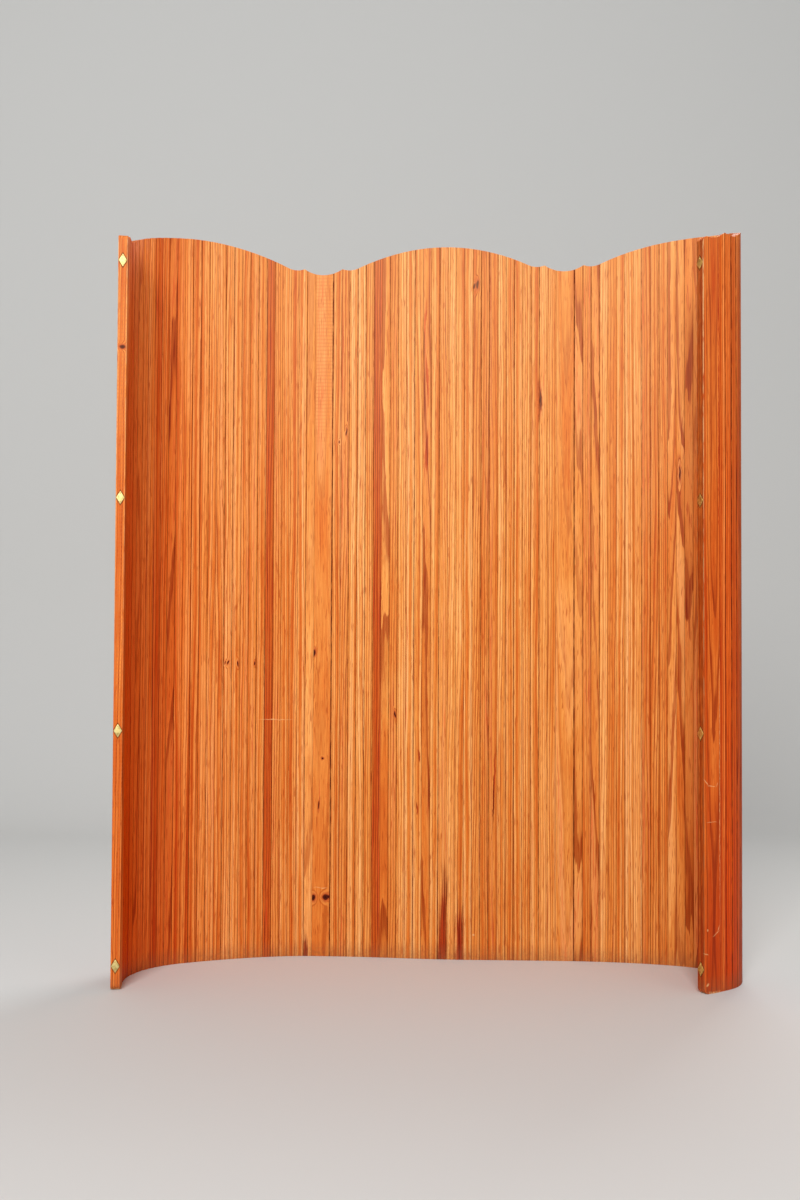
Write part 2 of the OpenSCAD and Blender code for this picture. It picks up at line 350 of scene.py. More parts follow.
# Widths of what the wood shows, in metres. Real fibres are far finer, and would not show.
RING_W, STREAK_W, FIBRE_W, DUCT_W = 0.0054, 0.0024, 0.0009, 0.0024
WANDER_W, RIPPLE_W, PATCH_W, DECADE_W = 0.05, 0.009, 0.11, 0.008
WANDER, RIPPLE, KNOT_SWIRL = 0.016, 0.0022, 0.006  # how far these push a ring from its circle
BEAD_W, SPECKLE_W, PLANER_STEP = 0.004, 0.006, 0.0088
# These patterns are squeezed along the trunk before they are read, which draws them out along it
ALONG_RINGS, ALONG_STREAKS, ALONG_PATCHES, ALONG_BEADS = (1, 1, 0.07), (1, 1, 0.02), (1, 1, 0.3), (1, 1, 0.15)
MARK_SWAY_W, MARK_SWAY = 0.014, (0.004, 0.0, 0.006)
# Half depth of a mark: through the whole board, or under one face or one edge only
ALL_THROUGH, ONE_FACE, EDGE_KNOT, EDGE_FLAME = 1.0, 0.006, 0.0055, 0.011
# Heights over which the varnish is rubbed off the rim and the foot, and dirt has gone into the foot
RIM_BARE, RIM_WORN, FOOT_WORN, FOOT_DIRT = 0.0006, 0.003, 0.012, 0.04
# From this height up the open panels are painted paler, a painted sheen
PALE_TOP_FROM = TOTAL_H * 0.55
# The first width here is that of the painted shadow round a brass plate
PLATE_SHADOW_W, FACE_SKIN = 0.005, 0.0003


def varnished_pine(name, knots=(), flames=(), soaks=(), scuffs=(), chatter=(), worn=0.0, plates=False):
    """Yellow pine under old orange varnish. Growth rings run round the heart of the tree: pale early
    wood, then a sharp brown line of late wood. A mark is (member, x, z, half width, half height,
    turn, y), its place measured in its member's own plan."""
    material, tree = blank_material(name)
    grain = add(tree, "Attribute", attribute_name="tree").outputs["Vector"]
    skin = add(tree, "SeparateXYZ", {0: add(tree, "Attribute", attribute_name="skin").outputs["Vector"]})
    tone = add(tree, "SeparateXYZ", {0: add(tree, "Attribute", attribute_name="tone").outputs["Vector"]})
    spot = add(tree, "Attribute", attribute_name="mark").outputs["Vector"]
    height = add(tree, "SeparateXYZ", {0: spot}).outputs["Z"]

    # No mark has a ruled outline: the place it is read at wanders by a millimetre
    sway = add(tree, "TexNoise", {"Vector": spot, "Scale": 1 / MARK_SWAY_W, "Detail": 1.0}).outputs["Color"]
    sway = add(tree, "VectorMath", {0: sway, 1: (0.5, 0.5, 0.5)}, operation="SUBTRACT").outputs[0]
    swayed = add(tree, "VectorMath", {0: sway, 1: MARK_SWAY, 2: spot}, operation="MULTIPLY_ADD").outputs[0]

    def nearest(marks, through):
        """Distance to the nearest mark in units of its own half sizes, or None where there are none."""
        least = None
        for member, x, z, half_w, half_h, turned, y in marks:
            away = add(tree, "Mapping", {
                "Vector": swayed,
                "Location": (starts[member] + x, y, z),
                "Rotation": (0, turned, 0),
                "Scale": (half_w, through, half_h),
            }, vector_type="TEXTURE")
            length = add(tree, "VectorMath", {0: away.outputs[0]}, operation="LENGTH").outputs["Value"]
            least = length if least is None else add(
                tree, "Math", {0: least, 1: length}, operation="MINIMUM").outputs[0]
        return least

    # Rings: distance to the heart, bent by slow wander along the trunk and by any knot. Each year is
    # pale first and then brown, some years more than others, and the line is broken along its length
    drawn = add(tree, "VectorMath", {0: grain, 1: ALONG_RINGS}, operation="MULTIPLY").outputs[0]
    wander = add(tree, "TexNoise", {"Vector": drawn, "Scale": 1 / WANDER_W, "Detail": 2.0}).outputs[0]
    ripple = add(tree, "TexNoise", {"Vector": drawn, "Scale": 1 / RIPPLE_W, "Detail": 2.0}).outputs[0]
    across = add(tree, "VectorMath", {0: grain, 1: (1, 1, 0)}, operation="MULTIPLY").outputs[0]
    radius = add(tree, "VectorMath", {0: across}, operation="LENGTH").outputs["Value"]
    radius = add(tree, "Math", {0: wander, 1: WANDER, 2: radius}, operation="MULTIPLY_ADD").outputs[0]
    radius = add(tree, "Math", {0: ripple, 1: RIPPLE, 2: radius}, operation="MULTIPLY_ADD").outputs[0]
    knot_far = nearest(knots, EDGE_KNOT if plates else ALL_THROUGH)
    if knot_far:
        swirl = add(tree, "MapRange", {0: knot_far, 1: 1.0, 2: 4.0, 3: KNOT_SWIRL, 4: 0.0},
                    interpolation_type="SMOOTHSTEP").outputs[0]
        radius = add(tree, "Math", {0: radius, 1: swirl}, operation="ADD").outputs[0]
    years = add(tree, "Math", {0: radius, 1: 1 / RING_W}, operation="MULTIPLY").outputs[0]
    season = add(tree, "Math", {0: years}, operation="FRACT").outputs[0]
    year = add(tree, "Math", {0: years}, operation="FLOOR").outputs[0]
    vigour = add(tree, "TexWhiteNoise", {"W": year}, noise_dimensions="1D").outputs["Value"]
    late = add(tree, "ValToRGB", {0: season}, stops=[
        (0.0, "#000000"), (0.5, "#101010"), (0.7, "#808080"), (0.82, "#FFFFFF"), (0.96, "#FFFFFF"),
        (1.0, "#000000"),
    ]).outputs[0]
    vigour = add(tree, "MapRange", {0: vigour, 3: 0.4, 4: 1.5}).outputs[0]
    late = add(tree, "Math", {0: late, 1: vigour}, operation="MULTIPLY").outputs[0]
    late = add(tree, "Math", {0: late, 1: tone.outputs["Z"]}, operation="MULTIPLY",
               use_clamp=True).outputs[0]
    streaks = add(tree, "VectorMath", {0: grain, 1: ALONG_STREAKS}, operation="MULTIPLY").outputs[0]
    streak = add(tree, "TexNoise", {"Vector": streaks, "Scale": 1 / STREAK_W, "Detail": 2.0}).outputs[0]
    broken = add(tree, "MapRange", {0: streak, 1: 0.4, 2: 0.6, 3: 0.6, 4: 1.0}).outputs[0]
    late = add(tree, "Math", {0: late, 1: broken}, operation="MULTIPLY").outputs[0]

    # Tone: each lath has its own, which drifts along its length and over the years; on some laths it darkens
    # towards the foot, which is painted shade
    drift = add(tree, "VectorMath", {0: grain, 1: ALONG_PATCHES}, operation="MULTIPLY").outputs[0]
    patches = add(tree, "TexNoise", {"Vector": drift, "Scale": 1 / PATCH_W, "Detail": 3.0}).outputs[0]
    decades = add(tree, "Math", {0: radius, 1: 1 / DECADE_W}, operation="MULTIPLY").outputs[0]
    decades = add(tree, "TexNoise", {"W": decades, "Scale": 1.0, "Detail": 1.0},
                  noise_dimensions="1D").outputs[0]
    # The noises add up to about 0.9, which comes off again, and a little less of it at the top, a painted
    # light that leaves the top a little lighter
    offset_and_lit_top = add(tree, "MapRange", {0: height, 1: 0.0, 2: TOTAL_H, 3: -0.87, 4: -0.85}).outputs[0]
    light = add(tree, "Math", {0: patches, 1: 0.7, 2: tone.outputs["X"]},
                operation="MULTIPLY_ADD").outputs[0]
    light = add(tree, "Math", {0: decades, 1: 1.15, 2: light}, operation="MULTIPLY_ADD").outputs[0]
    light = add(tree, "Math", {0: light, 1: offset_and_lit_top}, operation="ADD", use_clamp=True).outputs[0]
    early = add(tree, "ValToRGB", {0: light}, stops=[
        (0.0, "#C85C1A"), (0.3, "#DF8636"), (0.5, "#EBA350"), (0.68, "#F6B768"), (1.0, "#FCCE88"),
    ]).outputs[0]
    brown = add(tree, "ValToRGB", {0: light}, stops=[
        (0.0, "#8A2E08"), (0.4, "#A24410"), (1.0, "#BE6426"),
    ]).outputs[0]
    wood = add(tree, "Mix", {0: late, 6: early, 7: brown}, data_type="RGBA").outputs[2]

    # Heartwood: red, in whole laths, in drifting patches and in the flames
    red = add(tree, "Math", {0: patches, 1: 0.5, 2: tone.outputs["Y"]}, operation="MULTIPLY_ADD").outputs[0]
    red = add(tree, "Math", {0: decades, 1: 1.0, 2: red}, operation="MULTIPLY_ADD").outputs[0]
    red = add(tree, "Math", {0: streak, 1: 1.4, 2: red}, operation="MULTIPLY_ADD").outputs[0]
    red = add(tree, "MapRange", {0: red, 1: 1.78, 2: 2.15}).outputs[0]
    flame_far = nearest(flames, EDGE_FLAME if plates else ALL_THROUGH)
    if flame_far:
        flame = add(tree, "Math", {0: streak, 1: 1.6, 2: flame_far}, operation="MULTIPLY_ADD").outputs[0]
        flame = add(tree, "MapRange", {0: flame, 1: 1.3, 2: 1.9, 3: 1.0, 4: 0.0}).outputs[0]
        red = add(tree, "Math", {0: red, 1: flame}, operation="MAXIMUM").outputs[0]
    ember = add(tree, "ValToRGB", {0: light}, stops=[
        (0.0, "#9E2E0C"), (0.35, "#C64A18"), (0.8, "#E27E40"),
    ]).outputs[0]
    heartwood = add(tree, "Mix", {0: late, 6: ember, 7: linear("#7A1E06")}, data_type="RGBA").outputs[2]
    wood = add(tree, "Mix", {0: red, 6: wood, 7: heartwood}, data_type="RGBA").outputs[2]
    soak_far = nearest(soaks, ALL_THROUGH)
    if soak_far:
        # Resin that soaked the wood has gone dark red
        soak = add(tree, "Math", {0: streak, 1: 1.6, 2: soak_far}, operation="MULTIPLY_ADD").outputs[0]
        soak = add(tree, "MapRange", {0: soak, 1: 1.3, 2: 1.75, 3: 0.95, 4: 0.0}).outputs[0]
        dried = add(tree, "ValToRGB", {0: streak}, stops=[(0.38, "#701004"), (0.6, "#B03C14")]).outputs[0]
        wood = add(tree, "Mix", {0: soak, 6: wood, 7: dried}, data_type="RGBA").outputs[2]

    # Streaks and fibres far longer than they are wide, and short dark resin ducts
    shade = add(tree, "ValToRGB", {0: streak}, stops=[(0.32, "#DCA878"), (0.62, "#FFFFFF")]).outputs[0]
    deep = add(tree, "Math", {0: red, 1: 0.9, 2: 0.6}, operation="MULTIPLY_ADD").outputs[0]
    wood = add(tree, "Mix", {0: deep, 6: wood, 7: shade}, clamp_factor=False, data_type="RGBA",
               blend_type="MULTIPLY").outputs[2]
    fibre = add(tree, "TexNoise", {"Vector": streaks, "Scale": 1 / FIBRE_W, "Detail": 1.0}).outputs[0]
    shade = add(tree, "ValToRGB", {0: fibre}, stops=[(0.3, "#E4C8AC"), (0.65, "#FFFFFF")]).outputs[0]
    wood = add(tree, "Mix", {0: 0.6, 6: wood, 7: shade}, data_type="RGBA", blend_type="MULTIPLY").outputs[2]
    resin = add(tree, "TexNoise", {"Vector": drawn, "Scale": 1 / DUCT_W, "Detail": 1.0}).outputs[0]
    resin = add(tree, "MapRange", {0: resin, 1: 0.61, 2: 0.7, 3: 0.0, 4: 0.6}).outputs[0]
    wood = add(tree, "Mix", {0: resin, 6: wood, 7: linear("#A4440F")}, data_type="RGBA").outputs[2]
    chatter_far = nearest(chatter, ALL_THROUGH)
    if chatter_far:
        # Chatter of the planer: faint bars across the face, one cut of the knives apart. At scale 1
        # they would stand a twentieth of two pi metres apart
        bars = add(tree, "TexWave", {
            "Vector": spot, "Scale": math.tau / 20 / PLANER_STEP, "Distortion": 0.8, "Detail": 0.0,
        }, bands_direction="Z").outputs["Fac"]
        bars = add(tree, "MapRange", {0: bars, 1: 0.35, 2: 1.0}).outputs[0]
        bars = add(tree, "Math", {0: bars, 1: patches}, operation="MULTIPLY").outputs[0]
        there = add(tree, "MapRange", {0: chatter_far, 1: 0.6, 2: 1.1, 3: 0.9, 4: 0.0}).outputs[0]
        bars = add(tree, "Math", {0: bars, 1: there}, operation="MULTIPLY").outputs[0]
        wood = add(tree, "Mix", {0: bars, 6: wood, 7: linear("#C8743A")}, data_type="RGBA").outputs[2]
    if knot_far:
        # A knot: nearly black inside, a brown bark line at its edge, then paler wood around it
        core = add(tree, "Math", {0: knot_far, 1: 0.3}, operation="MULTIPLY").outputs[0]
        core = add(tree, "ValToRGB", {0: core}, stops=[
            (0.0, "#2A0A04"), (0.28, "#5A1C0A"), (0.4, "#B85A28"), (1.0, "#E08E4C"),
        ]).outputs[0]
        here = add(tree, "MapRange", {0: knot_far, 1: 1.0, 2: 2.6, 3: 1.0, 4: 0.0},
                   interpolation_type="SMOOTHSTEP").outputs[0]
        wood = add(tree, "Mix", {0: here, 6: wood, 7: core}, data_type="RGBA").outputs[2]

    # Painted sheen: the upper part of the open panels, where the varnish is thin, is painted paler, as light
    # from above leaves it
    pale_top_sheen = add(tree, "MapRange", {0: height, 1: PALE_TOP_FROM, 2: TOTAL_H, 3: 0.0, 4: 0.2}).outputs[0]
    thin = add(tree, "MapRange", {0: skin.outputs["Y"], 1: 0.1, 2: 0.5, 3: 1.0, 4: 0.0}).outputs[0]
    pale_top_sheen = add(tree, "Math", {0: pale_top_sheen, 1: thin}, operation="MULTIPLY").outputs[0]
    wood = add(tree, "Mix", {0: pale_top_sheen, 6: wood, 7: linear("#E8AC80")}, data_type="RGBA").outputs[2]

    # Orange varnish, deepened on the curled ends as a painted warm shade and thinned at the top as a painted
    # sheen, and browned in the joints, where no hand reaches; the right post's free edge is darkened as
    # painted shade
    wood = add(tree, "Mix", {0: skin.outputs["Y"], 6: wood, 7: linear("#FF9220")},
               data_type="RGBA", blend_type="MULTIPLY").outputs[2]
    beads = add(tree, "VectorMath", {0: spot, 1: ALONG_BEADS}, operation="MULTIPLY").outputs[0]
    beads = add(tree, "TexNoise", {"Vector": beads, "Scale": 1 / BEAD_W, "Detail": 2.0}).outputs[0]
    # The grime of the joints, and painted shade on the right post's free edge
    grime_and_shade = add(tree, "MapRange", {0: beads, 1: 0.35, 2: 0.6, 3: 0.55, 4: 1.1}).outputs[0]
    grime_and_shade = add(tree, "Math", {0: grime_and_shade, 1: skin.outputs["X"]}, operation="MULTIPLY",
                use_clamp=True).outputs[0]
    wood = add(tree, "Mix", {0: grime_and_shade, 6: wood, 7: linear("#5E1E06")}, data_type="RGBA").outputs[2]

    if plates:
        # A dark line round each brass plate, a painted shadow of its rim, on the free edge and not on the
        # faces
        off = None
        for level in WIRE_LEVELS:
            away = add(tree, "Math", {0: height, 1: level}, operation="SUBTRACT").outputs[0]
            away = add(tree, "Math", {0: away}, operation="ABSOLUTE").outputs[0]
            off = away if off is None else add(
                tree, "Math", {0: off, 1: away}, operation="MINIMUM").outputs[0]
        side = add(tree, "SeparateXYZ", {0: spot}).outputs["Y"]
        side = add(tree, "Math", {0: side}, operation="ABSOLUTE").outputs[0]
        outline = add(tree, "Math", {0: side, 1: PLATE_H / PLATE_W, 2: off},
                      operation="MULTIPLY_ADD").outputs[0]
        on_edge = add(tree, "MapRange", {
            0: side, 1: PLATE_W / 2, 2: POST_T / 2 - FACE_SKIN, 3: 0.9, 4: 0.0,
        }).outputs[0]
        plate_shadow = add(tree, "MapRange", {
            0: outline, 1: PLATE_H / 2, 2: PLATE_H / 2 + PLATE_SHADOW_W, 3: on_edge, 4: 0.0,
        }).outputs[0]
        wood = add(tree, "Mix", {0: plate_shadow, 6: wood, 7: linear("#4A2408")}, data_type="RGBA").outputs[2]

    # Bare pale wood where the rims and the foot are worn, broken up by a speckle
    speckle = add(tree, "TexNoise", {"Vector": spot, "Scale": 1 / SPECKLE_W, "Detail": 3.0}).outputs[0]
    dirt = add(tree, "MapRange", {0: height, 1: 0.0, 2: FOOT_DIRT, 3: 0.9, 4: 0.0}).outputs[0]
    dirt = add(tree, "Math", {0: dirt, 1: speckle}, operation="MULTIPLY").outputs[0]
    wood = add(tree, "Mix", {0: dirt, 6: wood, 7: linear("#8A5234")}, data_type="RGBA").outputs[2]
    rim = add(tree, "MapRange", {
        0: skin.outputs["Z"], 1: RIM_BARE, 2: RIM_WORN, 3: 0.6 + worn * 0.8, 4: 0.0,
    }).outputs[0]
    foot = add(tree, "MapRange", {0: height, 1: 0.0, 2: FOOT_WORN, 3: 0.5 + worn * 0.7, 4: 0.0}).outputs[0]
    bare = add(tree, "Math", {0: rim, 1: foot}, operation="MAXIMUM").outputs[0]
    bare = add(tree, "Math", {0: bare, 1: speckle}, operation="MULTIPLY").outputs[0]
    bare = add(tree, "MapRange", {0: bare, 1: 0.3, 2: 0.55, 3: 0.0, 4: 0.7}).outputs[0]
    if worn:
        # Hands have rubbed a pale line along the free edge's arrises, most of all high up
        arris = add(tree, "Attribute", attribute_name="arris").outputs["Fac"]
        arris = add(tree, "Math", {0: beads, 1: 1.0, 2: arris}, operation="MULTIPLY_ADD").outputs[0]
        held = add(tree, "MapRange", {0: height, 1: 0.5, 2: 1.6, 3: 0.15 * worn, 4: worn}).outputs[0]
        arris = add(tree, "MapRange", {0: arris, 1: 1.36, 2: 1.56, 3: 0.0, 4: held}).outputs[0]
        bare = add(tree, "Math", {0: bare, 1: arris}, operation="MAXIMUM").outputs[0]
    scuff_far = nearest(scuffs, ONE_FACE)
    if scuff_far:
        scuff = add(tree, "MapRange", {0: scuff_far, 1: 0.5, 2: 1.1, 3: 1.1, 4: 0.0}).outputs[0]
        scuff = add(tree, "Math", {0: scuff, 1: speckle}, operation="MULTIPLY").outputs[0]
        bare = add(tree, "Math", {0: bare, 1: scuff}, operation="MAXIMUM").outputs[0]
    wood = add(tree, "Mix", {0: bare, 6: wood, 7: linear("#EBB478")}, data_type="RGBA").outputs[2]

    relief = add(tree, "Math", {0: fibre, 1: late}, operation="ADD").outputs[0]
    bump = add(tree, "Bump", {"Strength": 0.25, "Distance": 0.0003, "Height": relief}).outputs[0]
    gloss = add(tree, "MapRange", {0: speckle, 3: 0.48, 4: 0.62}).outputs[0]
    shader = add(tree, "BsdfPrincipled", {
        "Base Color": wood, "Roughness": gloss, "IOR": 1.5, "Specular IOR Level": 0.08, "Normal": bump,
    })
    add(tree, "OutputMaterial", {"Surface": shader.outputs[0]})
    return material


# Growth marks and scuffs that show at a step away
slat_pine = varnished_pine(
    "varnished_pine_slat",
    knots=[
        (46, 0.0062, 1.606, 0.0019, 0.006, 0.2, 0), (46, 0.0135, 1.609, 0.0026, 0.0085, 0.1, 0),
        (54, 0.006, 1.33, 0.002, 0.021, 0, 0), (69, 0.012, 1.147, 0.0016, 0.014, 0, 0),
        (17, 0.014, 0.7, 0.0016, 0.0045, 0.3, 0), (17, 0.007, 0.7, 0.0008, 0.003, 0.3, 0),
        (18, 0.0185, 0.697, 0.0013, 0.0055, -0.1, 0), (20, 0.019, 0.698, 0.0012, 0.0035, 0, 0),
        (30, 0.016, 1.257, 0.0012, 0.008, 0.1, 0), (29, 0.018, 1.234, 0.0012, 0.003, 0, 0),
        (36, 0.019, 0.577, 0.0015, 0.0065, -0.2, 0),
    ],
    flames=[
        (40, 0.008, 1.52, 0.003, 0.045, 0.04, 0), (40, 0.014, 1.38, 0.004, 0.06, -0.05, 0),
        (40, 0.012, 1.2, 0.006, 0.05, 0.05, 0),
    ],
    soaks=[
        (42, 0.0145, 0.03, 0.0145, 0.2, 0.03, 0), (44, 0.0145, 0.0, 0.0145, 0.18, 0, 0),
        (27, 0.009, 0.0, 0.0075, 0.06, 0, 0), (39, 0.0175, 0.481, 0.0032, 0.02, -0.1, 0),
        (39, 0.0134, 0.353, 0.0022, 0.022, 0, 0), (48, 0.0175, 0.43, 0.0026, 0.12, 0.032, 0),
    ],
    scuffs=[(22, 0.030, 0.5645, 0.045, 0.0011, 0, -0.008), (46, 0.008, 0.06, 0.003, 0.003, 0, -0.008)],
)


SHARP_ANGLE = math.radians(32)  # edges that turn more than this stay crisp


def put(name, data):
    """A new object for that mesh, lamp or camera, in the scene."""
    made = bpy.data.objects.new(name, data)
    bpy.context.scene.collection.objects.link(made)
    return made


def stand_block(node, first, last, material, make):
    """One block of members as a piece that stands for its CAD node and rides on its body."""
    whole = bmesh.new()
    layers = {}
    for i in range(first, last + 1):
        bm = bmesh.new()
        make(bm, i)
        mesh = bpy.data.meshes.new("member")
        bm.to_mesh(mesh)
        bm.free()
        for name, rows in grain_rows(i, mesh).items():
            layers.setdefault(name, []).extend(rows)
        if is_post(i):
            layers.setdefault("arris", []).extend(arris_wear(i, mesh))
        mesh.transform(seat(i))
        whole.from_mesh(mesh)
        bpy.data.meshes.remove(mesh)
    mesh = bpy.data.meshes.new(node + "_wood")
    whole.to_mesh(mesh)
    whole.free()
    for name, rows in layers.items():
        kind, field = ("FLOAT", "value") if name == "arris" else ("FLOAT_VECTOR", "vector")
        mesh.attributes.new(name, kind, "POINT").data.foreach_set(field, rows)
    mesh.shade_smooth()
    mesh.set_sharp_from_angle(angle=SHARP_ANGLE)
    mesh.materials.append(material)
    piece = put(node + "_wood", mesh)
    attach(piece, frame["nodes"][node]["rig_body"])
    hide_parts(node)


for k, panel in enumerate(PANELS):
    for j in range(PANEL_GROUPS):
        before, last = (
            k * PANEL_MEMBERS + math.floor(n * PANEL_SLATS / PANEL_GROUPS + 0.5) for n in (j, j + 1)
        )
        stand_block(f"slats_{panel}_{j + 1}", before + 1, last, slat_pine,
                    narrow_member)

# ---------------------------------------------------------------------------------------------
# The two wide staves: pine boards more than twice as wide as a slat, with the same groove and nose,
# where the scallops meet. They came off a thickness planer, whose knives left faint cross bars at
# the top of the left one, which also has a row of dead knots near its foot and a few small ones.
# ---------------------------------------------------------------------------------------------
stave_pine = varnished_pine(
    "varnished_pine_stave",
    knots=[
        (28, 0.007, 0.139, 0.0042, 0.0066, 0, 0), (28, 0.0365, 0.1405, 0.0062, 0.0058, 0, 0),
        (28, 0.0425, 0.1415, 0.0032, 0.0030, 0.5, 0),
        (28, 0.019, 0.36, 0.0014, 0.009, 0.1, 0), (28, 0.0045, 0.724, 0.0032, 0.0075, 0.2, 0),
        (28, 0.027, 0.472, 0.0022, 0.002, 0, 0),
    ],
    scuffs=[(28, 0.025, 0.163, 0.018, 0.0012, 0.03, -0.008)],
    chatter=[(28, 0.022, 1.5, 0.05, 0.28, 0, 0)],
)
for i, side, tone in (
    (PANEL_MEMBERS, "left", (0.5, 0.22, 0.4)),
    (2 * PANEL_MEMBERS, "right", (0.48, 0.2, 0.4)),
):
    lath[i]["tone"] = tone
    stand_block(f"wide_stave_{side}", i, i, stave_pine, narrow_member)

# ---------------------------------------------------------------------------------------------
# The two end posts: 20 mm pine boards that close the run, one with a nose and one with a groove.
# Their free edges are what hands take hold of, so the long arrises are rounded, the corners are
# rounded off top and foot, and the varnish there is worn through to pale wood.
# ---------------------------------------------------------------------------------------------
POST_SHOULDER = 0.003
POST_CORNER_R, POST_ARRIS_R = 0.015, 0.0015
POST_EASE = 0.0010
WEAR_W = 0.002
CORNER_STATIONS = (0.0005, 0.0015, WEAR_W, 0.005, 0.0075, 0.0105)
NEARLY_ROUND = 0.9  # the last arc stops short, and the closing edge of the plan draws the rest
PLATE_W, PLATE_H = 0.018, 0.029
WIRE_LEVELS = (0.052, 0.550, 1.048, 1.560)


def post_member(bm, i):
    half, r = POST_T / 2, POST_ARRIS_R
    shoulder = POST_W - POST_SHOULDER
    if i == 0:
        draw_plan(bm, (r, -half), [
            (shoulder, -half), (shoulder, -NOSE_R), (POST_W, -NOSE_R), (POST_W, 0, math.pi),
            (shoulder, NOSE_R), (shoulder, half), (r, half), (r, half - r, math.pi / 2), (0, r - half),
            (r, r - half, math.pi / 2 * NEARLY_ROUND),
        ])
    else:
        lip_angle = math.atan2(LIP_Y, LIP_SET)
        draw_plan(bm, (LIP_SET, -half), [
            (POST_W - r, -half), (POST_W - r, r - half, math.pi / 2), (POST_W, half - r),
            (POST_W - r, half - r, math.pi / 2), (LIP_SET, half), (LIP_SET, LIP_Y), (0, 0, -2 * lip_angle),
        ])
    for y in (r + WEAR_W - half, half - r - WEAR_W):
        cut(bm, (0, y, 0), (0, 1, 0))

    def from_edge(x):
        return max(0.0, x if i == 0 else POST_W - x)

    def corner(x):
        return hollow(max(0.0, POST_CORNER_R - from_edge(x)), POST_CORNER_R)

    stand_up(bm, i, corner, corner, [from_edge(x) for x in CORNER_STATIONS])

    def is_shoulder(x, y):
        return i == 0 and abs(x - shoulder) < SAME_PLACE and abs(y) > half - SAME_PLACE

    ease(bm, POST_EASE, 3, is_shoulder)


def arris_wear(i, mesh):
    """1 on the rounded arrises of the free edge, and 0 from WEAR_W away from them."""
    wear = []
    for v in mesh.vertices:
        inwards = (v.co.x if i == 0 else POST_W - v.co.x) - POST_ARRIS_R
        across = POST_T / 2 - POST_ARRIS_R - abs(v.co.y)
        far = math.hypot(max(0.0, inwards), max(0.0, across))
        wear.append(max(0.0, 1 - far / WEAR_W))
    return wear


post_pine = varnished_pine(
    "varnished_pine_post",
    knots=[(0, 0.0, 1.373, 0.005, 0.0036, 0, -0.001)],
    flames=[(LAST, 0.005, 1.25, 0.002, 0.42, 0, 0.010)],
    scuffs=[
        (LAST, 0.016, 0.126, 0.0014, 0.013, -1.0, 0.010), (LAST, 0.009, 0.136, 0.0012, 0.007, -0.4, 0.010),
        (LAST, 0.040, 0.135, 0.0018, 0.003, 0, 0.010), (LAST, 0.001, 0.087, 0.0018, 0.003, 0, 0.010),
        (LAST, 0.044, 0.447, 0.0011, 0.010, 0.8, 0.010), (LAST, 0.028, 0.439, 0.012, 0.0010, -0.05, 0.010),
        (LAST, 0.013, 0.441, 0.0010, 0.006, -0.4, 0.010), (LAST, 0.028, 0.362, 0.017, 0.0008, 0, 0.010),
        (LAST, 0.045, 0.085, 0.0012, 0.008, 1.2, 0.010), (LAST, 0.040, 0.020, 0.005, 0.003, 0.5, 0.010),
        (LAST, 0.0048, 0.42, 0.0009, 0.34, 0, 0.010),
    ],
    chatter=[(0, 0.0, 0.9, 0.05, 0.9, 0, 0)], worn=0.7, plates=True,
)
# The right post's darker tone is painted shade on its outer face
for i, side, tone in ((0, "left", (0.3, 0.1, 0.8)), (LAST, "right", (0.24, -0.1, 0.9))):
    lath[i]["tone"] = tone
    stand_block(f"end_post_{side}", i, i, post_pine, post_member)

# ---------------------------------------------------------------------------------------------
# The brass plates: lozenges stamped from sheet and pinned to the free edges of the posts, one over
# each end of each wire, with their rims turned down a little. The left post's are still bright, and
# those of the right post have browned.
# ---------------------------------------------------------------------------------------------
PLATE_T, PLATE_EASE = 0.0012, 0.0008
CLOUD_W, RUB_W = 0.006, 0.0007  # real rubbing marks are finer and would not show


def polished_brass(name, dull, shine, bright):
    """Sheet brass: warm yellow metal, clouded by handling, with fine upright rubbing marks."""
    material, tree = blank_material(name)
    spot = add(tree, "TexCoord").outputs["Object"]
    clouds = add(tree, "TexNoise", {"Vector": spot, "Scale": 1 / CLOUD_W, "Detail": 4.0}).outputs[0]
    rubbed = add(tree, "VectorMath", {0: spot, 1: (1, 1, 0.1)}, operation="MULTIPLY").outputs[0]
    rubbed = add(tree, "TexNoise", {"Vector": rubbed, "Scale": 1 / RUB_W, "Detail": 2.0}).outputs[0]
    colour = add(tree, "ValToRGB", {0: clouds}, stops=[
        (0.3, dull), (0.5, shine), (0.75, bright),
    ]).outputs[0]
    rough = add(tree, "MapRange", {0: rubbed, 3: 0.5, 4: 0.68}).outputs[0]
    bump = add(tree, "Bump", {"Strength": 0.2, "Distance": 0.0001, "Height": rubbed}).outputs[0]
    shader = add(tree, "BsdfPrincipled", {
        "Base Color": colour, "Metallic": 1.0, "Roughness": rough, "Normal": bump,
    })
    add(tree, "OutputMaterial", {"Surface": shader.outputs[0]})
    return material


brass = polished_brass("polished_brass", "#B0985C", "#D8C482", "#E4D698")
browned = polished_brass("browned_brass", "#A47838", "#D4A85A", "#E6C278")


def lozenge(bm, level):
    """A plate in the plane of a free edge at x = 0, with its front at -PLATE_T."""
    made = bmesh.ops.create_circle(bm, cap_ends=True, segments=4, radius=0.5)["verts"]
    bmesh.ops.scale(bm, verts=made, vec=(PLATE_H, PLATE_W, 1))
    bmesh.ops.rotate(bm, verts=made, matrix=Matrix.Rotation(math.pi / 2, 3, "Y"))
    bmesh.ops.translate(bm, verts=made, vec=(0, 0, level))
    faces = [f for f in bm.faces if all(v in made for v in f.verts)]
    raised = bmesh.ops.extrude_face_region(bm, geom=faces)["geom"]
    front = [g for g in raised if isinstance(g, bmesh.types.BMVert)]
    bmesh.ops.translate(bm, verts=front, vec=(-PLATE_T, 0, 0))
    edge = {e for v in front for e in v.link_edges if all(w in front for w in e.verts)}
    bevel(bm, list(edge), PLATE_EASE, 3)


